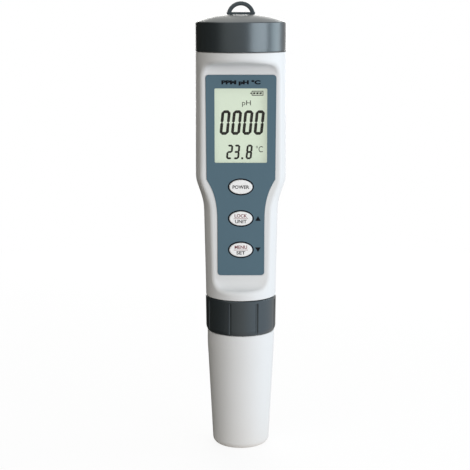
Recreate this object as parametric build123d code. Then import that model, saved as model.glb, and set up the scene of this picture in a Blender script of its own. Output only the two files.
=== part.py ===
from build123d import *
import math
import os

# A pen-shaped water tester: threaded battery cap, casing with display and keys, screwed collar,
# plug-in electrode and push-on protective cap. Millimetres. z = 0 is the protective cap's flat base,
# the pen's axis is x = y = 0, and the display faces -Y.

# Levels along the axis
cap_rim_z = 50.7            # open end of the protective cap
collar_bottom_z = 51.0
collar_top_z = 65.9
casing_bottom_z = 66.2      # outer shoulder that the collar closes against
casing_top_z = 168.9        # outer shoulder that the battery cap closes against
neck_top_z = 178.0
band_bottom_z = 169.2       # battery cap's lower edge
band_top_z = 180.9
plateau_z = 184.0
loop_top_z = 189.35

# Casing
grip_radius = 14.85         # lower end
waist_radius = 15.65
waist_z = 106.3             # where the side turns outwards
waist_round = 24.0
shoulder_radius = 18.95     # widest, beside the display
shoulder_z = 116.0
shoulder_round = 12.0
head_radius = 18.7          # under the battery cap
wall = 2.0
neck_radius = 16.9          # plain part of the neck, with the seal
neck_bore = 14.7
spigot_radius = 12.55
spigot_bore = 11.0
spigot_bottom_z = 56.5
cavity_bottom_z = 69.0
cavity_top_z = 166.9

# Flat front and what sits in it
face_y = -9.2               # flat front of the casing
scoop_angle = 14            # draft of the walls at the ends of the flat
scoop_cove = 3.7            # round between those walls and the flat
scoop_corner = 9.5
flat_half_low = 13.6        # a little more than the casing is wide at this depth
flat_half_top = 17.6
flat_bottom_z = 73.9
flat_top_z = 160.2
rim_round = 1.8
recess_depth = 0.6
panel_proud = 0.2
panel_half_top = 14.5
panel_half_kink = 14.2
panel_kink_z = 116.7
panel_half_low = 9.75
panel_neck_z = 99.0
panel_bottom_z = 76.1
panel_top_z = 159.8
panel_corner = 1.4
window_width = 21.65
window_height = 30.7
window_z = 138.95
window_ledge = 1.2          # how far the window's flange reaches under the panel
window_flange = 0.7
window_clear = 0.6          # casing's opening beyond the window, each way
key_levels = {"power": 113.6, "hold": 100.3, "mode": 87.0}
key_width = 9.6
key_height = 5.9
key_gap = 0.25
key_proud = 0.6             # above the panel
key_flange_width = 12.6
key_flange_height = 8.6
switch_half = 3.0
switch_front_y = -5.1
plunger_radius = 1.65

# Display
lcd_front_y = -7.1
lcd_step_y = -6.0           # between the front and the back glass
lcd_back_y = -4.95
lcd_half_width = 11.6
lcd_half_height = 16.2
contact_ledge = 1.6         # bare edge of the front glass that the rubber strips press on
reflector = 0.25
strip_half_width = 10.4
strip_half_height = 0.9

# Threads
thread_pitch = 3.0
thread_gap = 0.25           # radial, between a male and a female thread
neck_thread_radius = 16.6
neck_throw = 0.45           # height of the thread above and below its middle radius
neck_thread_z = 172.6
spigot_thread_radius = 13.0
spigot_throw = 0.4
spigot_thread_z = (57.0, 63.5)

# Battery compartment
cell_radius = 5.8           # LR44
cell_height = 5.4
cell_step = 0.6             # height of the narrower negative end
cell_offset = 6.3
cell_base_z = 166.9
holder_bottom_z = 159.0
holder_floor = 2.4
plate_thickness = 0.3
spring_radius = 3.6
spring_wire = 0.3
spring_turns = 4
key_pin_y = 9.5             # pins that stop the contact carrier turning
key_pin_radius = 1.1
carrier_radius = 15.8
carrier_z = (178.5, 180.6)
pivot_radius = 2.0
pivot_gap = 0.05

# Circuit board
board_front_y = -2.4
board_thickness = 1.6
board_half_top = 14.0
board_half_low = 11.6
board_bottom_z = 74.0
board_top_z = 157.5
boss_x = 11.4
boss_z = 116.0
boss_radius = 2.4
pilot_radius = 0.85
chip_z = 135.0
chip_half = 5.0
chip_leg_pitch = 0.9
chip_legs = 10
socket_top_z = 82.0
socket_back_y = 4.4

# Electrode
plug_radius = 10.7
plug_top_z = 68.8
flange_radius = 13.1
flange_z = (53.05, 56.2)
seat_radius = 12.1
seat_bottom_z = 44.3
probe_face_z = 34.0
chamber_radius = 8.2
chamber_bottom_z = 37.0
stem_radius = 3.0
glass_wall = 0.6
stem_bottom_z = 25.15
stem_top_z = 63.5
bulb_radius = 4.0
bulb_wall = 0.5
bulb_z = 22.5
guard_radius = 9.2
guard_wall = 1.3
guard_bottom_z = 14.5
guard_slot_z = (18.0, 30.5)
guard_slot_half = 5.2
sensor_ring = 5.7           # distance of the pins, probe and junction from the axis
sensor_gap = 0.02
sensor_top_z = 46.0
contact_y = 1.8
contact_pitch = 2.0
contact_count = 8
contact_pin_radius = 0.4

# Seals
ring_section = 0.7          # section radius of every sealing ring
neck_seal = (16.55, 171.1)  # ring radius and level
plug_seal = (10.25, 62.0)
cap_seal = (11.65, 47.8)
groove_floor = 0.75         # from the ring's middle to the bottom of its groove

# Collar
collar_radius_top = 15.02
collar_radius_low = 14.87
collar_lip_radius = 14.3
collar_bore = 13.7
grip_count = 8
first_grip = 27             # degrees from the front, towards +X
grip_cut = 0.65
grip_top_z = 64.7

# Battery cap
band_radius = head_radius + 0.15
band_bevel = 0.3
cap_bore = 17.35
cap_thread_z = (173.0, 178.6)
ceiling_z = 181.0
plateau_radius = 8.5
loop_outer = 5.85
loop_inner = 4.15
loop_floor_z = 185.0
loop_half_depth = 1.35

# Protective cap
cup_foot_radius = 12.0
cup_low = (12.35, 7.0)      # radius and level
cup_top = (14.3, 45.0)
cup_floor = 2.2
cup_bore_low = (10.4, 7.0)
cup_bore_top = (12.3, 41.0)
cup_seat_radius = 12.4      # plain bore that the seal grips
foot_round = 2.6
sponge_radius = 8.9
sponge_top_z = 9.0

board_back_y = board_front_y + board_thickness
panel_back_y = face_y + recess_depth
panel_front_y = face_y - panel_proud
inner_face_y = face_y + wall
corner_reach = math.tan(math.radians((90 - scoop_angle) / 2))    # tangent length of a round of radius 1
contact_xs = [(i - (contact_count - 1) / 2) * contact_pitch for i in range(contact_count)]


# Shared shapes

def turned(*outline):
    """Solid of revolution about the axis from (radius, z) points."""
    return revolve(Plane.XZ * make_face(Polyline(*outline, close=True)), Axis.Z)


def turned_edges(*edges):
    """Solid of revolution about the axis from joined edges in (radius, z)."""
    return revolve(Plane.XZ * make_face(edges), Axis.Z)


def tube(outer, inner, low, high):
    body = turned((0, low), (outer, low), (outer, high), (0, high))
    if inner > 0:
        body -= turned((0, low - 1), (inner, low - 1), (inner, high + 1), (0, high + 1))
    return body


def post(x, y, radius, low, high):
    return Pos(x, y, (low + high) / 2) * Cylinder(radius, high - low)


def block(x_span, y_span, z_span):
    sizes = [high - low for low, high in (x_span, y_span, z_span)]
    middles = [(low + high) / 2 for low, high in (x_span, y_span, z_span)]
    return Pos(*middles) * Box(*sizes)


def front_plane(y):
    """Plane at depth y whose x is X, whose y is Z and which faces the viewer."""
    return Plane(origin=(0, y, 0), x_dir=(1, 0, 0), z_dir=(0, -1, 0))


def slab(sketch, front, back):
    """Extrude a front-view sketch from depth front to depth back."""
    return extrude(front_plane(back) * sketch, back - front)


def post_y(x, z, radius, front, back):
    """Round bar along Y between two depths."""
    return slab(Pos(x, z) * Circle(radius), front, back)


def screw(radius, throw, low, high):
    """Rounded one-start right-hand thread: an off-centre circle that turns as it rises."""
    turn = 360 * (high - low) / thread_pitch
    circle = Wire.make_circle(radius, Plane((throw, 0, 0)))
    body = Solid.extrude_linear_with_rotation(circle, (0, 0, 0), (0, 0, high - low), turn)
    return Pos(0, 0, low) * Rot(0, 0, 360 * low / thread_pitch) * body


def coil(radius, wire, low, high, turns):
    path = Helix((high - low) / turns, high - low, radius, center=(0, 0, low))
    section = Plane(path @ 0, z_dir=path % 0) * Circle(wire)
    return sweep(section, path=path)


def half_outline(edges):
    """Close a right-hand outline, which starts and ends on x = 0, with its mirror image."""
    return make_face(list(edges) + [edge.mirror(Plane.YZ) for edge in edges])


def seal_ring(seal):
    radius, z = seal
    return Pos(0, 0, z) * Torus(radius, ring_section)


def seal_groove(seal, outer):
    """Groove for a ring in a surface of radius outer."""
    radius, z = seal
    half = ring_section + 0.1
    return tube(outer + 2, radius - groove_floor, z - half, z + half)


def lowest(body):
    return body.edges().group_by(Axis.Z)[0]


def highest(body):
    return body.edges().group_by(Axis.Z)[-1]


# Casing and what is fixed to it

def front_cutter(inset):
    """Space in front of the flat, with coved ends; its surface lies inset inside the casing's."""
    cove, back_y = scoop_cove + inset, face_y + inset
    grow = cove * corner_reach
    half_low, half_top = flat_half_low + grow, flat_half_top + grow
    low, high = flat_bottom_z - grow, flat_top_z + grow
    right = [(half_low, low), (half_low, waist_z), (half_top, shoulder_z), (half_top, high)]
    left = [(-x, z) for x, z in reversed(right)]
    outline = make_face(Polyline(*right, *left, close=True))
    corners = [v for v in outline.vertices() if v.Y < low + 1 or v.Y > high - 1]
    outline = fillet(corners, scoop_corner + inset)
    cutter = extrude(front_plane(back_y) * outline, 14, taper=-scoop_angle)
    return fillet(cutter.faces().sort_by(Axis.Y)[-1].edges(), cove)


def turned_side(inset):
    """The casing's outer form between its shoulders, with the side moved in by inset."""
    low = (grip_radius - inset, casing_bottom_z)
    top = (head_radius - inset, casing_top_z)
    side = FilletPolyline(low, (waist_radius - inset, waist_z), (shoulder_radius - inset, shoulder_z), top,
                          radius=[waist_round, shoulder_round])
    ends = Polyline(top, (0, casing_top_z), (0, casing_bottom_z), low)
    return turned_edges(*side.edges(), *ends.edges())


def panel_sketch(inset=0.0):
    top, kink, low = panel_half_top - inset, panel_half_kink - inset, panel_half_low - inset
    edges = [
        Line((0, panel_bottom_z + inset), (low, panel_bottom_z + inset)),
        Line((low, panel_bottom_z + inset), (low, panel_neck_z)),
        Bezier((low, panel_neck_z), (low, panel_neck_z + 8.5),
               (kink - 3.0, panel_kink_z - 4.9), (kink, panel_kink_z)),
        Line((kink, panel_kink_z), (top, panel_top_z - inset)),
        Line((top, panel_top_z - inset), (0, panel_top_z - inset)),
    ]
    sketch = half_outline(edges)
    corners = [v for v in sketch.vertices()
               if abs(v.X) > 1 and (v.Y < panel_bottom_z + 1 or v.Y > panel_top_z - 1)]
    return fillet(corners, panel_corner)


def window_sketch(grow):
    width, height = window_width + 2 * grow, window_height + 2 * grow
    return Pos(0, window_z) * RectangleRounded(width, height, 0.5 + grow / 4)


def key_sketch(z, grow):
    return Pos(0, z) * Ellipse(key_width / 2 + grow, key_height / 2 + grow)


def make_casing():
    low_thread, high_thread = spigot_thread_z
    shell = turned_side(0) - front_cutter(0)
    core = turned_side(0.02)
    rim = [e for e in shell.edges() if e.bounding_box().max.Y < face_y + 0.05
           and not core.is_inside(e @ 0.5)]
    shell = fillet(rim, rim_round)
    shell += tube(neck_radius, 0, casing_top_z, neck_thread_z)
    shell += screw(neck_thread_radius, neck_throw, neck_thread_z, neck_top_z)
    shell += tube(spigot_radius, 0, high_thread, casing_bottom_z)
    shell += screw(spigot_thread_radius, spigot_throw, low_thread, high_thread)
    shell += tube(spigot_radius, 0, spigot_bottom_z, low_thread)
    shell -= seal_groove(neck_seal, neck_radius)
    shell -= casing_cavity()
    shell -= tube(neck_bore, 0, cavity_top_z - 0.1, neck_top_z + 1)
    shell -= tube(spigot_bore, 0, spigot_bottom_z - 1, cavity_bottom_z + 0.1)
    for x in (-boss_x, boss_x):
        shell -= post_y(x, boss_z, pilot_radius, board_back_y - 1, board_back_y + 7)
    shell -= slab(panel_sketch(-0.1), face_y - 1, panel_back_y)
    shell -= slab(window_sketch(window_ledge + 0.2), panel_back_y - 1, panel_back_y + window_flange + 0.1)
    shell -= slab(window_sketch(window_clear), panel_back_y, inner_face_y + 1)
    for z in key_levels.values():
        shell -= slab(key_sketch(z, key_gap), panel_back_y - 1, inner_face_y + 1)
    return shell


def casing_cavity():
    """Room inside the casing, less the two bosses that carry the board."""
    room = turned_side(wall) & tube(25, 0, cavity_bottom_z, cavity_top_z)
    room -= front_cutter(wall)
    for x in (-boss_x, boss_x):
        room -= post_y(x, boss_z, boss_radius, board_back_y, 13.5)
    return room


def make_face_panel():
    plate = slab(panel_sketch(), panel_front_y, panel_back_y)
    plate -= slab(window_sketch(0), panel_front_y - 1, panel_back_y + 1)
    for z in key_levels.values():
        plate -= slab(key_sketch(z, key_gap), panel_front_y - 1, panel_back_y + 1)
    return plate


def make_display_window():
    pane = slab(window_sketch(-0.05), panel_front_y + 0.05, panel_back_y)
    return pane + slab(window_sketch(window_ledge), panel_back_y, panel_back_y + window_flange)


def lcd_box(half_width, half_height, front, back):
    return block((-half_width, half_width), (front, back), (window_z - half_height, window_z + half_height))


def make_lcd_panel():
    front_glass = lcd_box(lcd_half_width, lcd_half_height, lcd_front_y, lcd_step_y)
    back_glass = lcd_box(lcd_half_width, lcd_half_height - contact_ledge, lcd_step_y, lcd_back_y)
    return front_glass + back_glass


def make_lcd_reflector():
    half_height = lcd_half_height - contact_ledge - 2
    return lcd_box(lcd_half_width - 0.2, half_height, lcd_back_y, lcd_back_y + reflector)


def make_lcd_holder():
    frame = lcd_box(lcd_half_width + 0.8, lcd_half_height + 1.0, lcd_front_y + 0.1, board_front_y)
    frame -= lcd_box(lcd_half_width + 0.05, lcd_half_height + 0.05, lcd_front_y - 1, lcd_back_y + reflector)
    frame -= lcd_box(lcd_half_width - 1.6, lcd_half_height - 5.2, lcd_step_y, board_front_y + 1)
    for side in (-1, 1):
        frame -= strip_box(side, 0.1, lcd_step_y, board_front_y + 1)
    return frame


def strip_box(side, grow, front, back):
    """Slot or strip above or below the display, between the glass and the board."""
    middle = window_z + side * (lcd_half_height - 1.5 * contact_ledge)
    half = strip_half_height + grow
    reach = strip_half_width + grow
    return block((-reach, reach), (front, back), (middle - half, middle + half))


def make_zebra_strips():
    return [strip_box(side, 0, lcd_back_y, board_front_y) for side in (-1, 1)]


def make_main_board():
    outline = Polyline((0, board_bottom_z), (board_half_low, board_bottom_z), (board_half_low, 103.0),
                       (board_half_top, 112.0), (board_half_top, board_top_z), (0, board_top_z))
    board = slab(half_outline(outline.edges()), board_front_y, board_back_y)
    for x in (-boss_x, boss_x):
        board -= post_y(x, boss_z, 1.2, board_front_y - 1, board_back_y + 1)
    return board


def make_board_screws():
    """Two pan-head screws with crossed slots."""
    head_front, slot_floor = board_front_y - 1.3, board_front_y - 0.7
    long_half, short_half = 1.3, 0.25
    screws = []
    for x in (-boss_x, boss_x):
        head = slab(Pos(x, boss_z) * Circle(2.0), head_front, board_front_y)
        for half_x, half_z in ((long_half, short_half), (short_half, long_half)):
            z_span = (boss_z - half_z, boss_z + half_z)
            head -= block((x - half_x, x + half_x), (head_front - 1, slot_floor), z_span)
        screws.append(head + post_y(x, boss_z, 0.8, board_front_y - 0.5, board_back_y + 6))
    return screws


def make_controller_chip():
    leg_reach, leg_length, leg_half = chip_half + 0.6, 1.2, 0.2
    low, high = chip_z - chip_half, chip_z + chip_half
    chip = block((-chip_half, chip_half), (board_back_y + 0.2, board_back_y + 1.8), (low, high))
    for i in range(chip_legs):
        z = chip_z + chip_leg_pitch * (i - (chip_legs - 1) / 2)
        for span in ((-leg_reach, leg_length - leg_reach), (leg_reach - leg_length, leg_reach)):
            chip += block(span, (board_back_y, board_back_y + 0.4), (z - leg_half, z + leg_half))
    return chip


def chips_on_board(places, half_width, half_height, thickness):
    """Small blocks on the back of the board, one at each (x, z)."""
    return [block((x - half_width, x + half_width), (board_back_y, board_back_y + thickness),
                  (z - half_height, z + half_height)) for x, z in places]


def make_board_capacitors():
    places = [(x, 146.0) for x in (-8.5, -4.5, 4.5, 8.5)] + [(x, 122.0) for x in (-8.0, 8.0)]
    return chips_on_board(places, 0.8, 1.6, 0.9)


def make_board_resistors():
    places = [(x, z) for z in (108.0, 95.0) for x in (-8.6, -6.0, 6.0, 8.6)]
    return chips_on_board(places, 0.6, 1.0, 0.5)


def make_crystal():
    can = block((-4.6, 4.6), (board_back_y, board_back_y + 3.6), (122.2, 126.6))
    return fillet(can.edges().filter_by(Axis.Y), 2.1)


def make_switch_bodies():
    bodies = []
    for z in key_levels.values():
        case = block((-switch_half, switch_half), (switch_front_y, board_front_y),
                     (z - switch_half, z + switch_half))
        bodies.append(case - post_y(0, z, plunger_radius + 0.1, switch_front_y - 1, switch_front_y + 1.2))
    return bodies


def make_battery_holder():
    top = neck_top_z - 0.1
    floor = holder_bottom_z + holder_floor
    holder = tube(neck_bore - 0.2, 0, holder_bottom_z, top)
    for x in (-cell_offset, cell_offset):
        holder -= post(x, 0, cell_radius + 0.2, floor, top + 1)
        holder -= block((x - 1.3, x + 1.3), (-1.0, 0.1), (holder_bottom_z - 1, floor + 1))
    for y in (-key_pin_y, key_pin_y):
        holder -= post(0, y, key_pin_radius + 0.3, 170.0, top + 1)
    return holder - front_cutter(wall + 0.3)


def make_button_cells():
    cells = []
    for x in (-cell_offset, cell_offset):
        for level in range(2):
            base = cell_base_z + level * cell_height
            can = post(x, 0, cell_radius, base + cell_step, base + cell_height)
            can = chamfer(highest(can), 0.3)
            cells.append(can + post(x, 0, cell_radius - 1.1, base, base + cell_step))
    return cells


def make_spring_contacts():
    floor = holder_bottom_z + holder_floor
    top = floor + plate_thickness
    tail_z = 153.5              # lower end of the leg soldered to the board
    plates = []
    for x in (-cell_offset, cell_offset):
        plate = post(x, 0, 5.0, floor, top)
        plates.append(plate + block((x - 1, x + 1), (board_back_y, board_back_y + 0.4), (tail_z, top)))
    return plates


def make_battery_springs():
    low = holder_bottom_z + holder_floor + plate_thickness
    clear = spring_wire + 0.02
    spring = coil(spring_radius, spring_wire, low + clear, cell_base_z - clear, spring_turns)
    return [Pos(x, 0, 0) * spring for x in (-cell_offset, cell_offset)]


def make_electrode_socket():
    socket = block((-9.2, 9.2), (board_back_y, socket_back_y), (board_bottom_z, socket_top_z))
    for x in contact_xs:
        socket -= post(x, contact_y, 0.85, board_bottom_z - 1, socket_top_z - 1)
    return socket


def make_socket_contacts():
    sleeve = tube(0.8, 0.6, board_bottom_z + 1.5, socket_top_z - 1.5)
    return [Pos(x, contact_y, 0) * sleeve for x in contact_xs]


# Battery cap, the contact carrier inside it and the hanging loop

def make_battery_cap():
    shoulder = (band_radius - band_bevel, band_top_z + band_bevel)
    skirt = Polyline((0, plateau_z), (0, band_bottom_z), (band_radius, band_bottom_z), (band_radius, band_top_z),
                     shoulder)
    dome = ThreePointArc(shoulder, (13.3, 183.05), (plateau_radius, plateau_z))
    body = turned_edges(*skirt.edges(), dome, Line((plateau_radius, plateau_z), (0, plateau_z)))
    body = fillet(lowest(body), 0.3)
    thread_low, thread_high = cap_thread_z
    body -= tube(cap_bore, 0, band_bottom_z - 1, thread_low)
    body -= screw(neck_thread_radius + thread_gap, neck_throw, thread_low, thread_high)
    body -= tube(17.0, 0, thread_high, ceiling_z)
    body += tube(pivot_radius, 0, thread_high + 0.1, ceiling_z + 0.5)
    return body + make_loop()


def make_loop():
    middle_z = loop_top_z - loop_outer
    base_width = 2 * loop_outer
    sketch = Pos(0, middle_z) * Circle(loop_outer)
    sketch -= Pos(0, middle_z - loop_outer) * Rectangle(base_width + 2, base_width)
    sketch += Pos(0, (middle_z + loop_floor_z) / 2) * Rectangle(base_width, loop_floor_z - middle_z)
    hole = Pos(0, middle_z) * Circle(loop_inner)
    hole -= Pos(0, loop_floor_z - loop_inner) * Rectangle(2 * loop_inner + 2, 2 * loop_inner)
    arch = slab(sketch - hole, -loop_half_depth, loop_half_depth)
    rim = [e for e in arch.edges() if e.center().Z > loop_floor_z - 0.2
           and abs(abs(e.center().Y) - loop_half_depth) < 0.01]
    return fillet(rim, 0.5)


def make_contact_carrier():
    low, high = carrier_z
    disc = tube(carrier_radius, pivot_radius + pivot_gap, low, high)
    for y in (-key_pin_y, key_pin_y):
        disc += post(0, y, key_pin_radius, 171.0, low + 0.5)
    return disc


def make_bridge_contact():
    top = carrier_z[0]
    strip = block((-9.5, 9.5), (-3, 3), (top - plate_thickness, top))
    for x in (-cell_offset, cell_offset):
        strip += post(x, 0, 2.0, top - 0.7, top - 0.2)
    return strip - post(0, 0, pivot_radius + 0.4, top - 2, top + 2)


# Keys

def make_button(z):
    flange_front, flange_back = inner_face_y + 0.2, inner_face_y + 0.8
    flange = slab(Pos(0, z) * Ellipse(key_flange_width / 2, key_flange_height / 2), flange_front, flange_back)
    top = slab(key_sketch(z, 0), panel_front_y - key_proud, flange_back - 0.3)
    top = fillet(top.edges().sort_by(Axis.Y)[0:1], 0.4)
    return top + flange


def make_plunger(z):
    return post_y(0, z, plunger_radius, inner_face_y + 0.8, switch_front_y + 0.5)


# Electrode

def sensor_places():
    """(x, y, radius) of the two pins, the temperature probe and the junction."""
    return [(-sensor_ring, 0, 0.75), (sensor_ring, 0, 0.75), (0, sensor_ring, 1.5), (0, -sensor_ring, 1.4)]


def make_electrode_housing():
    flange_bottom, flange_top = flange_z
    nose_top = 37.0
    step = 11.0
    shell = turned(
        (0, probe_face_z), (guard_radius, probe_face_z), (guard_radius, nose_top), (step, seat_bottom_z - 1.5),
        (step, seat_bottom_z), (seat_radius, seat_bottom_z), (seat_radius, flange_bottom),
        (flange_radius, flange_bottom), (flange_radius, flange_top), (plug_radius, flange_top),
        (plug_radius, plug_top_z), (0, plug_top_z))
    shell -= seal_groove(cap_seal, seat_radius)
    shell -= seal_groove(plug_seal, plug_radius)
    shell -= tube(chamber_radius, 0, chamber_bottom_z, plug_top_z - 2.5)
    shell -= post(0, 0, stem_radius + sensor_gap, probe_face_z - 1, chamber_bottom_z + 1)
    for x, y, radius in sensor_places():
        shell -= post(x, y, radius + sensor_gap, probe_face_z - 1, chamber_bottom_z + 1)
    for x in contact_xs:
        shell -= post(x, contact_y, contact_pin_radius + sensor_gap, plug_top_z - 3, plug_top_z + 1)
    return shell


def round_ended(place, low):
    x, y, radius = place
    bar = post(x, y, radius, low, sensor_top_z)
    return fillet(lowest(bar), radius * 0.9)


def make_conductivity_pins():
    return [round_ended(place, 21.0) for place in sensor_places()[:2]]


def make_temperature_probe():
    return round_ended(sensor_places()[2], 22.0)


def make_reference_junction():
    x, y, radius = sensor_places()[3]
    return post(x, y, radius, probe_face_z - 1.4, 40.0)


def make_glass_bulb():
    bulb = Pos(0, 0, bulb_z) * (Sphere(bulb_radius) - Sphere(bulb_radius - bulb_wall))
    return bulb - tube(bulb_radius + 2, 0, stem_bottom_z, bulb_z + 8)


def make_glass_stem():
    return tube(stem_radius, stem_radius - glass_wall, stem_bottom_z, stem_top_z)


def make_reference_wire():
    return post(0, 0, 0.4, bulb_z + 1, stem_top_z + 2)


def make_plug_pins():
    return [post(x, contact_y, contact_pin_radius, plug_top_z - 3.5, socket_top_z - 2.5) for x in contact_xs]


def make_probe_guard():
    cage = tube(guard_radius, guard_radius - guard_wall, guard_bottom_z, probe_face_z)
    slot = block((-guard_slot_half, guard_slot_half), (-20, 20), guard_slot_z)
    slot = fillet(slot.edges().filter_by(Axis.Y), 2.0)
    return cage - slot - Rot(0, 0, 90) * slot


# Collar and protective cap

def make_collar():
    lip_top_z = collar_bottom_z + 2.4
    side = Polyline((collar_radius_low, lip_top_z), (collar_radius_top, collar_top_z), (0, collar_top_z),
                    (0, collar_bottom_z), (collar_lip_radius, collar_bottom_z))
    lip = ThreePointArc((collar_lip_radius, collar_bottom_z), (collar_radius_low - 0.15, lip_top_z - 1.5),
                        (collar_radius_low, lip_top_z))
    body = turned_edges(*side.edges(), lip)
    body = fillet(highest(body), 0.3)
    for i in range(grip_count):
        angle = math.radians(first_grip - 90 + i * 360 / grip_count)
        reach = collar_radius_top
        body -= post(reach * math.cos(angle), reach * math.sin(angle), grip_cut, collar_bottom_z - 1, grip_top_z)
    thread_low, thread_high = spigot_thread_z
    body -= tube(seat_radius + 0.3, 0, collar_bottom_z - 1, 53.5)
    body -= tube(collar_bore, 0, 53.0, thread_low)
    body -= screw(spigot_thread_radius + thread_gap, spigot_throw, thread_low, thread_high + 0.4)
    return body - tube(collar_bore, 0, thread_high + 0.4, collar_top_z + 1)


def make_protective_cap():
    low_radius, low_z = cup_low
    top_radius, top_z = cup_top
    cup = turned((0, 0), (cup_foot_radius, 0), (low_radius, low_z), (top_radius, top_z), (top_radius, cap_rim_z),
                 (0, cap_rim_z))
    cup = fillet(lowest(cup), foot_round)
    cup = fillet(highest(cup), 0.3)
    bore_low_radius, bore_low_z = cup_bore_low
    bore_top_radius, bore_top_z = cup_bore_top
    bore = turned((0, cup_floor), (bore_low_radius - 0.4, cup_floor), (bore_low_radius, bore_low_z),
                  (bore_top_radius, bore_top_z), (cup_seat_radius, bore_top_z + 2), (cup_seat_radius, cap_rim_z + 1),
                  (0, cap_rim_z + 1))
    return cup - fillet(lowest(bore), 1.0)


def make_storage_sponge():
    pad = tube(sponge_radius, 0, cup_floor, sponge_top_z)
    return fillet(highest(pad), 0.8)


def make_parts():
    parts = {
        "casing": make_casing(),
        "face_panel": make_face_panel(),
        "display_window": make_display_window(),
        "lcd_panel": make_lcd_panel(),
        "lcd_reflector": make_lcd_reflector(),
        "lcd_holder": make_lcd_holder(),
        "zebra_strips": make_zebra_strips(),
        "main_board": make_main_board(),
        "board_screws": make_board_screws(),
        "controller_chip": make_controller_chip(),
        "board_capacitors": make_board_capacitors(),
        "board_resistors": make_board_resistors(),
        "crystal": make_crystal(),
        "switch_bodies": make_switch_bodies(),
        "battery_holder": make_battery_holder(),
        "button_cells": make_button_cells(),
        "spring_contacts": make_spring_contacts(),
        "battery_springs": make_battery_springs(),
        "electrode_socket": make_electrode_socket(),
        "socket_contacts": make_socket_contacts(),
        "neck_o_ring": seal_ring(neck_seal),
        "battery_cap": make_battery_cap(),
        "contact_carrier": make_contact_carrier(),
        "bridge_contact": make_bridge_contact(),
        "electrode_housing": make_electrode_housing(),
        "electrode_o_ring": seal_ring(plug_seal),
        "cap_seal_ring": seal_ring(cap_seal),
        "conductivity_pins": make_conductivity_pins(),
        "temperature_probe": make_temperature_probe(),
        "reference_junction": make_reference_junction(),
        "glass_bulb": make_glass_bulb(),
        "glass_stem": make_glass_stem(),
        "reference_wire": make_reference_wire(),
        "plug_pins": make_plug_pins(),
        "probe_guard": make_probe_guard(),
        "collar": make_collar(),
        "protective_cap": make_protective_cap(),
        "storage_sponge": make_storage_sponge(),
    }
    for name, z in key_levels.items():
        parts[name + "_button"] = make_button(z)
        parts[name + "_plunger"] = make_plunger(z)
    return parts


def main():
    os.makedirs("parts", exist_ok=True)
    for name, shape in make_parts().items():
        if isinstance(shape, list):
            shape = Compound(children=shape)
        export_step(shape, os.path.join("parts", name + ".step"))


main()
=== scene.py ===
import math
import bpy
import bmesh
from mathutils import Matrix, Vector, noise


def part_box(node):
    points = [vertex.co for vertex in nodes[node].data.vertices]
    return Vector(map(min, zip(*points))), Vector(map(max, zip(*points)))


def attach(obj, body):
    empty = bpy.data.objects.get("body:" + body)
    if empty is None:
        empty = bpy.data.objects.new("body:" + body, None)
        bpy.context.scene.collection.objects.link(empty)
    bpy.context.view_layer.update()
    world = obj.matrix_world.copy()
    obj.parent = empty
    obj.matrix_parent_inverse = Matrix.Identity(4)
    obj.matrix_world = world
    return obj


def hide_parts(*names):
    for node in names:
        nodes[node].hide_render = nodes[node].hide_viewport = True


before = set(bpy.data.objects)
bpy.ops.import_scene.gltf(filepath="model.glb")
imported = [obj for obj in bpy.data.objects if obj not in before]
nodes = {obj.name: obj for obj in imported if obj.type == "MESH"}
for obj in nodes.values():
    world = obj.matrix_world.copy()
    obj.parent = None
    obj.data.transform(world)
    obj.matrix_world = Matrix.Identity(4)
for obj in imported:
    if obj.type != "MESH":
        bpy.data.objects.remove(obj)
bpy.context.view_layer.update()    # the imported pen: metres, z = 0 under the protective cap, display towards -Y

mm = 0.001
print("frame loaded,", len(nodes), "nodes")


# a Wire is a socket: sums on it add Math nodes
class Wire:
    def __init__(self, finish, socket):
        self.finish = finish
        self.socket = socket

    def maths(self, operation, *terms):
        return self.finish.node("ShaderNodeMath", {"operation": operation}, terms)

    def __add__(self, other):
        return self.maths("ADD", self, other)

    def __sub__(self, other):
        return self.maths("SUBTRACT", self, other)

    def __rsub__(self, other):
        return self.maths("SUBTRACT", other, self)

    def __mul__(self, other):
        return self.maths("MULTIPLY", self, other)

    def __truediv__(self, other):
        return self.maths("DIVIDE", self, other)

    def __gt__(self, other):
        return self.maths("GREATER_THAN", self, other)

    def __lt__(self, other):
        return self.maths("LESS_THAN", self, other)

    def __mod__(self, other):
        return self.maths("FLOORED_MODULO", self, other)

    def __abs__(self):
        return self.maths("ABSOLUTE", self)

    __radd__ = __add__
    __rmul__ = __mul__

    def atLeast(self, other):
        return self.maths("MAXIMUM", self, other)

    def atMost(self, other):
        return self.maths("MINIMUM", self, other)

    def output(self, name):
        return Wire(self.finish, self.socket.node.outputs[name])


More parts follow.
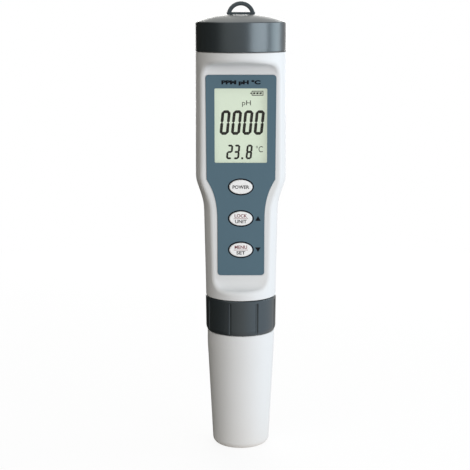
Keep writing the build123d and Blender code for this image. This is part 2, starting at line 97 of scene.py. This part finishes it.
class Finish:
    # a node tree being filled in; settings go on a node first, then its inputs
    def __init__(self, tree):
        self.tree = tree

    def node(self, kind, settings=None, inputs=(), output=0):
        made = self.tree.nodes.new(kind)
        for key, value in (settings or {}).items():
            if key == "stops":
                self.setStops(made.color_ramp, value)
            else:
                setattr(made, key, value)
        pairs = inputs.items() if isinstance(inputs, dict) else enumerate(inputs)
        for key, value in pairs:
            self.feed(made.inputs[key], value)
        return Wire(self, made.outputs[output])

    def setStops(self, ramp, stops):
        while len(ramp.elements) < len(stops):
            ramp.elements.new(1.0)
        for element, (place, colour) in zip(ramp.elements, stops):
            element.position = place
            element.color = tuple(colour) + (1.0,)

    def feed(self, socket, value):
        if isinstance(value, Wire):
            self.tree.links.new(value.socket, socket)
        elif socket.type == "RGBA" and len(value) == 3:
            socket.default_value = tuple(value) + (1.0,)
        else:
            socket.default_value = value

    def place(self):
        return self.node("ShaderNodeTexCoord", output="Object")

    def axis(self, name):
        return self.node("ShaderNodeSeparateXYZ", inputs=(self.place(),)).output(name)

    def grain(self, size, detail=2.0):
        # smooth noise from 0 to 1, with lumps about size metres across
        return self.node("ShaderNodeTexNoise", None,
                         {"Vector": self.place(), "Scale": 1 / size, "Detail": detail})

    def blend(self, share, low, high):
        return self.node("ShaderNodeMix", {"data_type": "RGBA", "clamp_factor": True},
                         {0: share, 6: low, 7: high}, output=2)

    def bump(self, height, depth, strength=1.0, after=None):
        inputs = {"Strength": strength, "Distance": depth, "Height": height}
        if after:
            inputs["Normal"] = after
        return self.node("ShaderNodeBump", None, inputs)


class Material(Finish):
    def __init__(self, name):
        self.data = bpy.data.materials.new(name)
        self.data.use_nodes = True
        super().__init__(self.data.node_tree)
        self.shader = self.tree.nodes["Principled BSDF"]

    def set(self, **sockets):
        for name, value in sockets.items():
            self.feed(self.shader.inputs[socketNames[name]], value)
        return self


socketNames = {
    "colour": "Base Color", "rough": "Roughness", "metal": "Metallic", "normal": "Normal",
    "specular": "Specular IOR Level", "specularTint": "Specular Tint",
    "glow": "Emission Color", "glowStrength": "Emission Strength",
}


def wear(finish, *nodeNames):
    # give these CAD nodes one finish
    for nodeName in nodeNames:
        mesh = nodes[nodeName].data
        mesh.materials.clear()
        mesh.materials.append(finish.data)


whiteLook = {
    "colour": (0.755, 0.765, 0.770), "aged": (0.730, 0.735, 0.725), "soilAndShade": (0.42, 0.40, 0.36),
    "rough": 0.44, "specular": 0.35,
    "cloud": 22 * mm, "seamBreakup": 3 * mm, "seam": 0.5 * mm,
    "peel": 1.6 * mm, "peelDepth": 0.012 * mm, "texture": 0.22 * mm, "textureDepth": 0.004 * mm,
}
# heights where parts meet, darkened with grime and painted shade: collar top, protective cap top, battery cap
# bottom
seamLevels = (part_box("collar")[1].z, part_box("protective_cap")[1].z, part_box("battery_cap")[0].z)


def mouldedWhite():
    look = whiteLook
    finish = Material("mouldedWhite")
    z = finish.axis("Z")
    cloud = finish.grain(look["cloud"], 3.0)
    fine = finish.grain(look["texture"], 1.0)
    seamBreakup = finish.grain(look["seamBreakup"], 4.0)
    seams = sum((1 - abs(z - level) / look["seam"]).atLeast(0.0) for level in seamLevels)
    shade = finish.blend(cloud * 0.8, look["colour"], look["aged"])
    # grime and painted shade: the white darkens towards the dark colour within half a millimetre of each seam
    colour = finish.blend(seams * seamBreakup * 0.5, shade, look["soilAndShade"])
    normal = finish.bump(finish.grain(look["peel"], 1.0), look["peelDepth"], 0.5)
    normal = finish.bump(fine, look["textureDepth"], 0.5, normal)
    return finish.set(colour=colour, rough=look["rough"] + cloud * 0.08 + fine * 0.04, normal=normal,
                      specular=look["specular"])


greyLook = {
    "colour": (0.023, 0.029, 0.032), "pale": (0.030, 0.037, 0.041),
    "rough": 0.26, "specular": 0.9, "tint": (0.80, 0.93, 1.0), "cloud": 14 * mm,
    "peel": 1.2 * mm, "peelDepth": 0.010 * mm, "texture": 0.18 * mm, "textureDepth": 0.005 * mm,
}


def mouldedGrey():
    look = greyLook
    finish = Material("mouldedGrey")
    cloud = finish.grain(look["cloud"], 3.0)
    fine = finish.grain(look["texture"], 1.0)
    normal = finish.bump(finish.grain(look["peel"], 1.0), look["peelDepth"], 0.5)
    normal = finish.bump(fine, look["textureDepth"], 0.6, normal)
    return finish.set(colour=finish.blend(cloud, look["colour"], look["pale"]),
                      rough=look["rough"] + fine * 0.06 + cloud * 0.04, normal=normal,
                      specular=look["specular"], specularTint=look["tint"])


filmLook = {"colour": (0.068, 0.135, 0.178), "pale": (0.078, 0.148, 0.192), "rough": 0.42,
            "cloud": 18 * mm, "weave": 0.14 * mm, "depth": 0.006 * mm}


def printedFilm():
    look = filmLook
    finish = Material("printedFilm")
    cloud = finish.grain(look["cloud"])
    fine = finish.grain(look["weave"], 1.0)
    return finish.set(colour=finish.blend(cloud, look["colour"], look["pale"]),
                      rough=look["rough"] + fine * 0.1, normal=finish.bump(fine, look["depth"], 0.8))


# shade is painted shade: the display is drawn darker towards its bottom
displayLook = {"colour": (0.36, 0.40, 0.33), "shade": (0.335, 0.375, 0.305), "rough": 0.35,
               # glow is painted light: the display glows though no lamp lights it
               "haze": 6 * mm, "glow": (0.90, 0.97, 0.83), "glowStrength": 0.47}


def displayGlass():
    look = displayLook
    finish = Material("displayGlass")
    low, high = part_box("lcd_panel")
    # painted shade: the colour darkens from the top of the display to its bottom
    rise = (finish.axis("Z") - low.z) / (high.z - low.z)
    haze = finish.grain(look["haze"])
    # painted light: the display is given a glow of its own, though nothing behind it lights
    return finish.set(colour=finish.blend(rise * 0.6 + haze * 0.4, look["shade"], look["colour"]),
                      rough=look["rough"] + haze * 0.06, glow=look["glow"], glowStrength=look["glowStrength"])


def clearPane(name, tint, ior, rough):
    # thin clear sheet: light passes straight on, and the gloss grows towards the edges
    finish = Material(name)
    finish.tree.nodes.remove(finish.shader)
    gloss = finish.node("ShaderNodeBsdfGlossy", None, {"Color": (1, 1, 1), "Roughness": rough})
    through = finish.node("ShaderNodeBsdfTransparent", None, {"Color": tint})
    back = finish.node("ShaderNodeNewGeometry", output="Backfacing")
    share = finish.node("ShaderNodeFresnel", None, {"IOR": ior}) * (1 - back)
    mixed = finish.node("ShaderNodeMixShader", None, (share, through, gloss))
    finish.feed(finish.tree.nodes["Material Output"].inputs["Surface"], mixed)
    return finish


plainLooks = {
    # name: colour, second colour, roughness, metal, lump size, bump depth
    "keyRubber": ((0.93, 0.93, 0.92), (0.89, 0.89, 0.88), 0.48, 0.0, 0.16 * mm, 0.005 * mm),
    "epoxyBlack": ((0.020, 0.020, 0.021), (0.032, 0.032, 0.033), 0.55, 0.0, 0.10 * mm, 0.006 * mm),
    "nylonBlack": ((0.030, 0.030, 0.032), (0.042, 0.042, 0.044), 0.45, 0.0, 0.30 * mm, 0.006 * mm),
    "ceramicTan": ((0.42, 0.30, 0.19), (0.50, 0.38, 0.25), 0.50, 0.0, 0.25 * mm, 0.004 * mm),
    "naturalPlastic": ((0.62, 0.60, 0.54), (0.70, 0.68, 0.62), 0.40, 0.0, 1.50 * mm, 0.010 * mm),
    "paleSheet": ((0.78, 0.79, 0.76), (0.83, 0.84, 0.81), 0.60, 0.0, 0.30 * mm, 0.004 * mm),
    "nickelSteel": ((0.56, 0.55, 0.53), (0.64, 0.63, 0.61), 0.26, 1.0, 0.60 * mm, 0.003 * mm),
    "goldPlate": ((0.80, 0.55, 0.20), (0.90, 0.66, 0.28), 0.24, 1.0, 0.30 * mm, 0.002 * mm),
    "sealRubber": ((0.016, 0.016, 0.017), (0.030, 0.030, 0.030), 0.50, 0.0, 0.20 * mm, 0.004 * mm),
    "probePlastic": ((0.034, 0.035, 0.038), (0.046, 0.047, 0.050), 0.36, 0.0, 0.25 * mm, 0.006 * mm),
    "polishedSteel": ((0.60, 0.60, 0.59), (0.66, 0.66, 0.65), 0.16, 1.0, 0.80 * mm, 0.002 * mm),
    "graphite": ((0.060, 0.060, 0.064), (0.100, 0.100, 0.104), 0.42, 0.4, 0.12 * mm, 0.010 * mm),
    "porousCeramic": ((0.80, 0.77, 0.70), (0.62, 0.59, 0.53), 0.85, 0.0, 0.12 * mm, 0.030 * mm),
    "silverWire": ((0.50, 0.47, 0.44), (0.30, 0.27, 0.26), 0.38, 0.8, 0.30 * mm, 0.004 * mm),
}


def plain(name):
    first, second, rough, metal, lump, depth = plainLooks[name]
    finish = Material(name)
    lumps = finish.grain(lump)
    cloud = finish.grain(lump * 12, 3.0)
    return finish.set(colour=finish.blend(cloud, first, second), rough=rough + lumps * 0.12 + cloud * 0.06,
                      metal=metal, normal=finish.bump(lumps, depth, 0.8))


zebraLook = {"pale": (0.62, 0.61, 0.58), "dark": (0.04, 0.04, 0.04), "pitch": 0.18 * mm, "rough": 0.6}


def zebraRubber():
    # thin dark and pale layers side by side
    look = zebraLook
    finish = Material("zebraRubber")
    dark = (finish.axis("X") / look["pitch"]) % 1.0 > 0.5
    return finish.set(colour=finish.blend(dark, look["pale"], look["dark"]), rough=look["rough"])


boardLook = {
    "resist": (0.008, 0.115, 0.045), "track": (0.025, 0.21, 0.085), "rough": 0.32,
    "wander": 9 * mm, "fine": 0.4 * mm, "trackDepth": 0.03 * mm,
    # tracks along each axis: pitch, how far they wander, half their width as a share of the pitch
    "tracks": {"X": (1.3 * mm, 5.0, 0.16), "Z": (2.6 * mm, 3.0, 0.07)},
}


def boardGreen():
    # solder resist over copper tracks
    look = boardLook
    finish = Material("boardGreen")
    wander = finish.grain(look["wander"], 1.0)
    runs = [abs((finish.axis(name) / pitch + wander * drift) % 1.0 - 0.5) < half
            for name, (pitch, drift, half) in look["tracks"].items()]
    track = runs[0].atLeast(runs[1])
    return finish.set(colour=finish.blend(track, look["resist"], look["track"]),
                      rough=look["rough"] + finish.grain(look["fine"]) * 0.08,
                      normal=finish.bump(track, look["trackDepth"], 0.6))


foamLook = {"dry": (0.72, 0.60, 0.22), "wet": (0.60, 0.48, 0.15), "paintedPoreShade": (0.22, 0.16, 0.04),
            "rough": 0.9, "cell": 0.8 * mm, "cellDepth": 0.25 * mm, "damp": 5 * mm}


def foam():
    look = foamLook
    finish = Material("spongeFoam")
    cell = finish.node("ShaderNodeTexVoronoi", {"feature": "F1"},
                       {"Vector": finish.place(), "Scale": 1 / look["cell"]})
    wall = finish.blend(finish.grain(look["damp"], 3.0), look["dry"], look["wet"])
    # painted shade: the middle of each pore is drawn dark
    return finish.set(colour=finish.blend(cell * 1.2, look["paintedPoreShade"], wall), rough=look["rough"],
                      normal=finish.bump(cell, look["cellDepth"], 0.9))


inkLook = {"patch": 0.25 * mm, "paler": 1.25, "lift": 0.004, "specular": 0.05}


def ink(name, colour, rough=0.5):
    look = inkLook
    finish = Material(name)
    patchy = finish.grain(look["patch"])
    paler = tuple(part * look["paler"] + look["lift"] for part in colour)
    return finish.set(colour=finish.blend(patchy, colour, paler), rough=rough + patchy * 0.08,
                      specular=look["specular"])


wear(mouldedWhite(), "casing", "protective_cap")
wear(mouldedGrey(), "battery_cap", "collar")
wear(printedFilm(), "face_panel")
wear(displayGlass(), "lcd_panel")
wear(clearPane("clearWindow", (0.97, 0.985, 0.97), 1.49, 0.05), "display_window")
wear(clearPane("clearGlass", (0.90, 0.94, 0.94), 1.52, 0.02), "glass_stem", "glass_bulb")
wear(plain("keyRubber"), "power_button", "hold_button", "mode_button")
wear(plain("epoxyBlack"), "controller_chip", "board_resistors")
wear(plain("nylonBlack"), "switch_bodies", "battery_holder", "electrode_socket",
     "power_plunger", "hold_plunger", "mode_plunger")
wear(plain("ceramicTan"), "board_capacitors")
wear(plain("naturalPlastic"), "lcd_holder", "contact_carrier")
wear(plain("paleSheet"), "lcd_reflector")
wear(plain("nickelSteel"), "button_cells", "battery_springs", "bridge_contact", "board_screws", "crystal")
wear(plain("goldPlate"), "spring_contacts", "socket_contacts", "plug_pins")
wear(plain("sealRubber"), "neck_o_ring", "electrode_o_ring", "cap_seal_ring")
wear(plain("probePlastic"), "electrode_housing", "probe_guard")
wear(plain("polishedSteel"), "temperature_probe")
wear(plain("graphite"), "conductivity_pins")
wear(plain("porousCeramic"), "reference_junction")
wear(plain("silverWire"), "reference_wire")
wear(zebraRubber(), "zebra_strips")
wear(boardGreen(), "main_board")
print("finishes on every node")


def addPiece(name, mesh, finish, body):
    # the bmesh handed in is finished and in place
    data = bpy.data.meshes.new(name)
    mesh.to_mesh(data)
    mesh.free()
    piece = bpy.data.objects.new(name, data)
    bpy.context.scene.collection.objects.link(piece)
    data.materials.append(finish.data)
    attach(piece, body)
    return piece


def raiseFront(mesh, frontY, thickness):
    # faces drawn at x, z become a slab whose front is at frontY
    raised = bmesh.ops.extrude_face_region(mesh, geom=mesh.faces[:])["geom"]
    moved = [part for part in raised if isinstance(part, bmesh.types.BMVert)]
    bmesh.ops.translate(mesh, vec=(0, thickness, 0), verts=moved)
    bmesh.ops.translate(mesh, vec=(0, frontY, 0), verts=mesh.verts)
    bmesh.ops.recalc_face_normals(mesh, faces=mesh.faces)


def drawPolygon(mesh, corners):
    mesh.faces.new([mesh.verts.new((x, 0, z)) for x, z in corners])


def drawBox(mesh, left, right, low, high):
    drawPolygon(mesh, [(left, low), (right, low), (right, high), (left, high)])


segmentBars = {
    # name: centre as shares of half width and half height, and whether it lies flat
    "top": (0, 1, True), "middle": (0, 0, True), "bottom": (0, -1, True),
    "upperLeft": (-1, 0.5, False), "upperRight": (1, 0.5, False),
    "lowerLeft": (-1, -0.5, False), "lowerRight": (1, -0.5, False),
}
digitBars = {
    # which of the seven segments are lit
    "0": "top bottom upperLeft upperRight lowerLeft lowerRight",
    "2": "top middle bottom upperRight lowerLeft",
    "3": "top middle bottom upperRight lowerRight",
    "8": "top middle bottom upperLeft upperRight lowerLeft lowerRight",
}
bigDigits = {"text": "0000", "firstX": -6.50 * mm, "pitch": 4.70 * mm, "z": 140.1 * mm,
             "width": 3.80 * mm, "height": 10.15 * mm, "stroke": 1.20 * mm}
smallDigits = {"z": 127.9 * mm, "width": 2.55 * mm, "height": 6.1 * mm, "stroke": 0.82 * mm,
               "places": (("2", -4.64 * mm), ("3", -1.75 * mm), ("8", 3.45 * mm)), "dotX": 0.55 * mm}
segments = {"slant": 0.10, "gap": 0.07, "tip": 0.35, "thick": 0.02 * mm}


def drawDigit(mesh, digit, x, z, width, height, stroke):
    halfWide = (width - stroke) / 2
    halfHigh = (height - stroke) / 2
    for bar in digitBars[digit].split():
        across, up, flat = segmentBars[bar]
        middleX, middleZ = across * halfWide, up * halfHigh
        reach = halfWide if flat else halfHigh / 2
        reach -= segments["gap"] * stroke
        half = stroke / 2
        tip, shoulder = reach + half * segments["tip"], reach - half * (1 - segments["tip"])
        outline = [(-tip, 0), (-shoulder, half), (shoulder, half),
                   (tip, 0), (shoulder, -half), (-shoulder, -half)]
        corners = []
        for along, side in outline:
            px, pz = (along, side) if flat else (side, along)
            px, pz = px + middleX, pz + middleZ
            corners.append((x + px + pz * segments["slant"], z + pz))
        drawPolygon(mesh, corners)


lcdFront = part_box("lcd_panel")[0].y


def displayDigits():
    mesh = bmesh.new()
    for place, digit in enumerate(bigDigits["text"]):
        drawDigit(mesh, digit, bigDigits["firstX"] + place * bigDigits["pitch"], bigDigits["z"],
                  bigDigits["width"], bigDigits["height"], bigDigits["stroke"])
    small = smallDigits
    for digit, x in small["places"]:
        drawDigit(mesh, digit, x, small["z"], small["width"], small["height"], small["stroke"])
    dotZ = small["z"] - small["height"] / 2
    half = small["stroke"] / 2
    drawBox(mesh, small["dotX"] - half, small["dotX"] + half, dotZ, dotZ + 2 * half)
    raiseFront(mesh, lcdFront - segments["thick"], segments["thick"])
    addPiece("display_digits", mesh, segmentInk, "casing")


battery = {"left": 4.45 * mm, "right": 9.25 * mm, "low": 151.2 * mm, "high": 153.15 * mm, "line": 0.30 * mm,
           "bars": 3, "barShare": 0.72, "lean": 0.0875 * mm}


def batterySign():
    # outline with a nub on the left and three leaning bars inside
    look = battery
    mesh = bmesh.new()
    left, right, low, high, line = look["left"], look["right"], look["low"], look["high"], look["line"]
    for x0, x1, z0, z1 in ((left, right, high - line, high), (left, right, low, low + line),
                           (left, left + line, low + line, high - line),
                           (right - line, right, low + line, high - line),
                           (left - 2 * line, left, low + 2.5 * line, high - 2.5 * line)):
        drawBox(mesh, x0, x1, z0, z1)
    room = (right - left - 3 * line) / look["bars"]
    z0, z1, lean = low + 2 * line, high - 2 * line, look["lean"]
    for place in range(look["bars"]):
        start = left + 2 * line + place * room
        end = start + room * look["barShare"]
        drawPolygon(mesh, [(start - lean, z0), (end - lean, z0), (end + lean, z1), (start + lean, z1)])
    raiseFront(mesh, lcdFront - segments["thick"], segments["thick"])
    addPiece("battery_sign", mesh, segmentInk, "casing")


printThick = 0.03 * mm
fontThick = 0.02    # thickness of the letters as drawn, before they are scaled


def lettering(name, words, x, z, width, height, frontY, finish, body, bold=0.0):
    # words standing upright on a plane that faces -Y, centred on x, z
    curve = bpy.data.curves.new(name + "_curve", "FONT")
    curve.body = words
    curve.align_x = "CENTER"
    curve.align_y = "CENTER"
    curve.offset = bold
    curve.extrude = fontThick / 2
    curve.resolution_u = 4
    holder = bpy.data.objects.new(name + "_holder", curve)
    bpy.context.scene.collection.objects.link(holder)
    bpy.context.view_layer.update()
    data = bpy.data.meshes.new_from_object(holder.evaluated_get(bpy.context.evaluated_depsgraph_get()))
    bpy.data.objects.remove(holder)
    mesh = bmesh.new()
    mesh.from_mesh(data)
    bpy.data.meshes.remove(data)
    bmesh.ops.remove_doubles(mesh, verts=mesh.verts, dist=1e-5)
    lowX, highX = min(v.co.x for v in mesh.verts), max(v.co.x for v in mesh.verts)
    lowZ, highZ = min(v.co.y for v in mesh.verts), max(v.co.y for v in mesh.verts)
    wide, tall = width / (highX - lowX), height / (highZ - lowZ)
    bmesh.ops.translate(mesh, vec=(-(lowX + highX) / 2, -(lowZ + highZ) / 2, 0), verts=mesh.verts)
    bmesh.ops.scale(mesh, vec=(wide, tall, printThick / fontThick), verts=mesh.verts)
    bmesh.ops.rotate(mesh, matrix=Matrix.Rotation(math.radians(90), 3, "X"), verts=mesh.verts)
    bmesh.ops.translate(mesh, vec=(x, frontY - printThick / 2, z), verts=mesh.verts)
    bmesh.ops.recalc_face_normals(mesh, faces=mesh.faces)
    addPiece(name, mesh, finish, body)


segmentInk = ink("segmentInk", (0.006, 0.007, 0.005), 0.6)
blackInk = ink("blackInk", (0.006, 0.007, 0.010), 0.6)
greyInk = ink("greyInk", (0.035, 0.033, 0.037), 0.5)
redInk = ink("redInk", (0.22, 0.060, 0.070), 0.5)

displayDigits()
batterySign()
lettering("display_units", "pH", 2.3 * mm, 147.9 * mm, 3.6 * mm, 2.65 * mm, lcdFront, segmentInk,
          "casing")
lettering("display_degrees", "°C", 7.7 * mm, 129.1 * mm, 2.85 * mm, 2.65 * mm, lcdFront, segmentInk,
          "casing")
print("display drawn")

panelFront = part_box("face_panel")[0].y
lettering("panel_heading", "PPM pH °C", 0.05 * mm, 156.6 * mm, 16.0 * mm, 2.25 * mm, panelFront, blackInk,
          "casing", bold=0.06)


keyLook = {
    "lines": {"power": ("POWER",), "hold": ("LOCK", "UNIT"), "mode": ("MENU", "SET")},
    "widths": {"POWER": 6.9 * mm, "LOCK": 5.2 * mm, "UNIT": 4.8 * mm, "MENU": 5.2 * mm, "SET": 3.7 * mm},
    "height": 1.45 * mm, "rise": 1.2 * mm, "ruleHalf": 3.0 * mm, "rule": 0.18 * mm,
    "ring": (4.87 * mm, 3.02 * mm), "ringWidth": 0.52 * mm,
    "arrows": {"hold": 1, "mode": -1}, "arrowX": 7.15 * mm, "arrowHalf": 1.15 * mm, "arrowTall": 2.0 * mm,
}


def keyWords(key, middleZ, frontY):
    lines = keyLook["lines"][key]
    for place, word in enumerate(lines):
        rise = 0 if len(lines) == 1 else (0.5 - place) * 2 * keyLook["rise"]
        finish = redInk if len(lines) > 1 and place == 0 else greyInk
        lettering(key + "_word_" + str(place + 1), word, 0, middleZ + rise, keyLook["widths"][word],
                  keyLook["height"], frontY, finish, key + "_button", bold=0.02)


def keyRule(key, middleZ, frontY):
    half, line = keyLook["ruleHalf"], keyLook["rule"] / 2
    rule = bmesh.new()
    drawBox(rule, -half, half, middleZ - line, middleZ + line)
    raiseFront(rule, frontY - printThick, printThick)
    addPiece(key + "_rule", rule, redInk, key + "_button")


def keyArrow(key, middleZ):
    up = keyLook["arrows"][key]
    x, half, tall = keyLook["arrowX"], keyLook["arrowHalf"], keyLook["arrowTall"] * up / 2
    arrow = bmesh.new()
    drawPolygon(arrow, [(x - half, middleZ - tall), (x + half, middleZ - tall), (x, middleZ + tall)])
    raiseFront(arrow, panelFront - printThick, printThick)
    addPiece(key + "_arrow", arrow, blackInk, "casing")


def keyRing(key, middleZ):
    # printed border round the key's hole
    ring = bmesh.new()
    for grow in (0, keyLook["ringWidth"]):
        made = bmesh.ops.create_circle(ring, segments=96, radius=1.0)["verts"]
        halfWide, halfHigh = (half + grow for half in keyLook["ring"])
        bmesh.ops.scale(ring, vec=(halfWide, halfHigh, 1), verts=made)
    bmesh.ops.bridge_loops(ring, edges=ring.edges)
    bmesh.ops.rotate(ring, matrix=Matrix.Rotation(math.radians(90), 3, "X"), verts=ring.verts)
    bmesh.ops.translate(ring, vec=(0, 0, middleZ), verts=ring.verts)
    raiseFront(ring, panelFront - printThick, printThick)
    addPiece(key + "_ring", ring, blackInk, "casing")


def keyMarks():
    for key in keyLook["lines"]:
        low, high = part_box(key + "_button")
        middleZ = (low.z + high.z) / 2
        keyWords(key, middleZ, low.y)
        keyRing(key, middleZ)
        if key in keyLook["arrows"]:
            keyRule(key, middleZ, low.y)
            keyArrow(key, middleZ)


keyMarks()
print("panel and keys printed")


spongeLook = {"wobble": 0.25 * mm, "pore": 1.3 * mm, "inset": 0.3 * mm, "headroom": 0.5 * mm,
              "round": 1.1 * mm, "rings": 9, "ringWidth": 0.8 * mm, "sideCuts": 10}


def storageSponge():
    look = spongeLook
    low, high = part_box("storage_sponge")
    radius = (high.x - low.x) / 2 - look["inset"]
    mesh = bmesh.new()
    bmesh.ops.create_cone(mesh, cap_ends=True, segments=72, radius1=radius, radius2=radius,
                          depth=high.z - low.z - look["headroom"])
    rims = [edge for edge in mesh.edges if abs(edge.verts[0].co.z - edge.verts[1].co.z) < 1e-7]
    bmesh.ops.bevel(mesh, geom=rims, offset=look["round"], segments=4, profile=0.5, affect="EDGES",
                    material=-1)
    caps = [face for face in mesh.faces if len(face.verts) > 8]
    for _ in range(look["rings"]):
        bmesh.ops.inset_region(mesh, faces=caps, thickness=look["ringWidth"], use_even_offset=True)
    sides = [edge for edge in mesh.edges if abs(edge.verts[0].co.z - edge.verts[1].co.z) > 2 * mm]
    bmesh.ops.subdivide_edges(mesh, edges=sides, cuts=look["sideCuts"], use_grid_fill=True)
    bmesh.ops.translate(mesh, vec=(0, 0, (low.z + high.z) / 2), verts=mesh.verts)
    mesh.normal_update()
    for vert in mesh.verts:
        dent = noise.noise(vert.co / look["pore"])
        vert.co += vert.normal * dent * look["wobble"]
    bmesh.ops.recalc_face_normals(mesh, faces=mesh.faces)
    for face in mesh.faces:
        face.smooth = True
    piece = addPiece("wet_sponge", mesh, foam(), "protective_cap")
    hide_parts("storage_sponge")


storageSponge()
print("sponge made")


floorLook = {"size": 60, "near": 0.05, "far": 0.45, "least": 0.88, "seen": 0.93,
             "glow": ((0.22, (0.02, 0.018, 0.012)), (0.50, (0.42, 0.38, 0.34)), (0.70, (0.74, 0.68, 0.63)),
                      (0.98, (0.90, 0.99, 1.10)))}
lightSide = (0.94, -0.34, 0.0)    # the bright side of the studio, to the right and a little in front


def studio():
    # the camera sees the floor pale round the pen and white further off; the pen is lit by its bright side
    look = floorLook
    mesh = bmesh.new()
    bmesh.ops.create_grid(mesh, x_segments=1, y_segments=1, size=look["size"] / 2)
    data = bpy.data.meshes.new("floor")
    mesh.to_mesh(data)
    mesh.free()
    floor = bpy.data.objects.new("floor", data)
    bpy.context.scene.collection.objects.link(floor)
    finish = Material("paleFloor")
    finish.tree.nodes.remove(finish.shader)
    distance = finish.node("ShaderNodeVectorMath", {"operation": "LENGTH"}, (finish.place(),), output="Value")
    fade = ((distance - look["near"]) / (look["far"] - look["near"])).atLeast(look["least"]).atMost(1.0)
    matt = finish.node("ShaderNodeBsdfDiffuse", None, {"Color": (look["seen"],) * 3})
    white = finish.node("ShaderNodeEmission", None, {"Color": (1, 1, 1), "Strength": 1.0})
    shown = finish.node("ShaderNodeMixShader", None, (fade, matt, white))
    side = finish.node("ShaderNodeVectorMath", {"operation": "DOT_PRODUCT"}, (finish.place(), lightSide),
                       output="Value") / (distance + 0.02)
    ramp = finish.node("ShaderNodeValToRGB", {"stops": look["glow"]}, (side * 0.5 + 0.5,))
    bounce = finish.node("ShaderNodeEmission", None, {"Color": ramp, "Strength": 1.0})
    seen = finish.node("ShaderNodeLightPath", output="Is Camera Ray")
    mixed = finish.node("ShaderNodeMixShader", None, (seen, bounce, shown))
    finish.feed(finish.tree.nodes["Material Output"].inputs["Surface"], mixed)
    data.materials.append(finish.data)


def softbox(name, azimuth, height, distance, width, tall, power, colour=(1, 1, 1), aimZ=0.09):
    # azimuth 0 is in front, positive towards +X
    lamp = bpy.data.lights.new(name, "AREA")
    lamp.shape = "RECTANGLE"
    lamp.size = width
    lamp.size_y = tall
    lamp.energy = power
    lamp.color = colour
    holder = bpy.data.objects.new(name, lamp)
    bpy.context.scene.collection.objects.link(holder)
    angle = math.radians(azimuth)
    place = Vector((math.sin(angle) * distance, -math.cos(angle) * distance, height))
    holder.location = place
    holder.rotation_euler = (Vector((0, 0, aimZ)) - place).to_track_quat("-Z", "Y").to_euler()
    holder.visible_camera = False


skyLook = {"stops": ((0.17, (0.040, 0.034, 0.020)), (0.33, (1.52, 1.48, 1.40)), (0.58, (1.04, 1.06, 1.08)),
                     (0.84, (0.36, 0.39, 0.44)), (1.0, (0.28, 0.31, 0.36))), "strength": 0.93}


def skyLight():
    # bright in front and to the right, dark to the left; plain white where the camera looks past the pen
    look = skyLook
    world = bpy.data.worlds.new("studio")
    bpy.context.scene.world = world
    world.use_nodes = True
    sky = Finish(world.node_tree)
    direction = sky.node("ShaderNodeTexCoord", output="Generated")
    side = sky.node("ShaderNodeVectorMath", {"operation": "DOT_PRODUCT"}, (direction, lightSide),
                    output="Value")
    ramp = sky.node("ShaderNodeValToRGB", {"stops": look["stops"]}, (side * 0.5 + 0.5,))
    seen = sky.node("ShaderNodeLightPath", output="Is Camera Ray")
    back = world.node_tree.nodes["Background"]
    sky.feed(back.inputs["Color"], sky.blend(seen, ramp, (1 / look["strength"],) * 3))
    sky.feed(back.inputs["Strength"], look["strength"])


cameraLook = {"distance": 533.4 * mm, "height": 192.3 * mm, "pitch": 10.7, "lens": 97.73, "shift": -0.01246}


def camera():
    look = cameraLook
    data = bpy.data.cameras.new("camera")
    data.lens = look["lens"]
    data.sensor_width = 36
    data.shift_x = look["shift"]
    data.clip_start = 0.01
    data.clip_end = 200
    holder = bpy.data.objects.new("camera", data)
    bpy.context.scene.collection.objects.link(holder)
    holder.location = (0, -look["distance"], look["height"])
    holder.rotation_euler = (math.radians(90 - look["pitch"]), 0, 0)
    bpy.context.scene.camera = holder


studio()
skyLight()
softbox("keyLight", 47, 0.17, 0.70, 0.58, 0.14, 1.95, colour=(0.96, 0.98, 1.0), aimZ=0.17)
softbox("rimLight", 98, 0.17, 0.70, 0.42, 0.22, 1.2, colour=(0.88, 0.97, 1.0), aimZ=0.14)
softbox("backFill", 178, 0.24, 0.90, 0.70, 0.40, 4.5, colour=(1.0, 0.99, 0.97), aimZ=0.10)
camera()
bpy.context.scene.view_settings.view_transform = "Standard"
print("studio lit")
